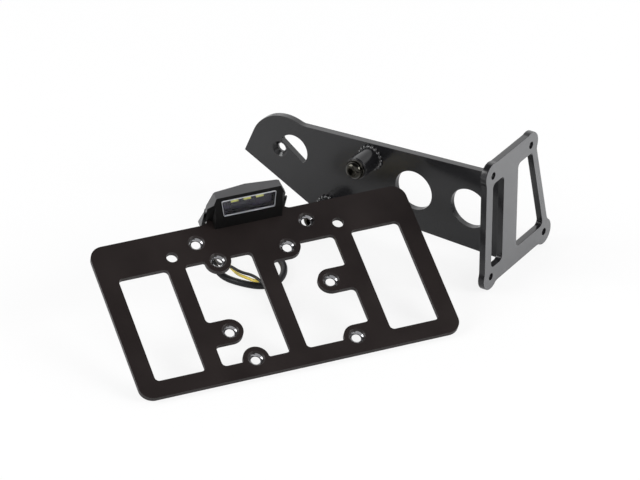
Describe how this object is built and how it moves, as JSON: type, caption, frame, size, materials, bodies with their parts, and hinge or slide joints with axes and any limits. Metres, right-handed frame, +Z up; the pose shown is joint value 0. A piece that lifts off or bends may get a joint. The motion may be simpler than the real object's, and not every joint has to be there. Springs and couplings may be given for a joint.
{
  "type": "side license plate holder",
  "caption": "Side mounted motorbike license plate holder as a kit: welded arm with a drilled end flange and screw bosses, and a windowed plate base with a small lamp and its lead.",
  "frame": {"origin": "on the surface that both halves stand on, under the middle of the rigid pieces", "axes": "+X along the arm towards its end flange, +Y from the plate base towards the arm, +Z up"},
  "size_m": [0.1903, 0.2694, 0.0826],
  "materials": {
    "bracket_paint": "gloss black coating on welded steel",
    "plate_black": "satin black anodised sheet",
    "screw_steel": "dark plated steel",
    "washer_steel": "plated steel",
    "lamp_black": "satin moulded plastic",
    "lens_clear": "clear moulded window",
    "reflector_silver": "bright frame",
    "board_dark": "dark circuit board",
    "led_yellow": "yellow phosphor",
    "lead_rubber": "moulded rubber",
    "sleeve_black": "vinyl sleeve",
    "wire_yellow": "vinyl insulation",
    "wire_black": "vinyl insulation",
    "connector_yellow": "insulated terminal",
    "connector_black": "insulated terminal"
  },
  "bodies": {
    "root": {"arm_plate": "bracket_paint", "end_flange": "bracket_paint", "flange_welds": "bracket_paint", "upper_boss": "bracket_paint", "upper_boss_weld": "bracket_paint", "upper_boss_washer": "washer_steel", "upper_boss_screw": "screw_steel", "lower_boss": "bracket_paint", "lower_boss_weld": "bracket_paint", "lower_boss_washer": "washer_steel", "lower_boss_screw": "screw_steel", "base_plate": "plate_black", "lamp_housing": "lamp_black", "lamp_lens": "lens_clear", "lamp_reflector": "reflector_silver", "lamp_board": "board_dark", "lamp_leds": "led_yellow", "lamp_screws": "screw_steel", "lamp_washers": "washer_steel", "lead_grommet": "lead_rubber", "lead_sleeve": "sleeve_black", "yellow_wire": "wire_yellow", "black_wire": "wire_black", "yellow_connector": "connector_yellow", "black_connector": "connector_black"}
  },
  "joints": []
}
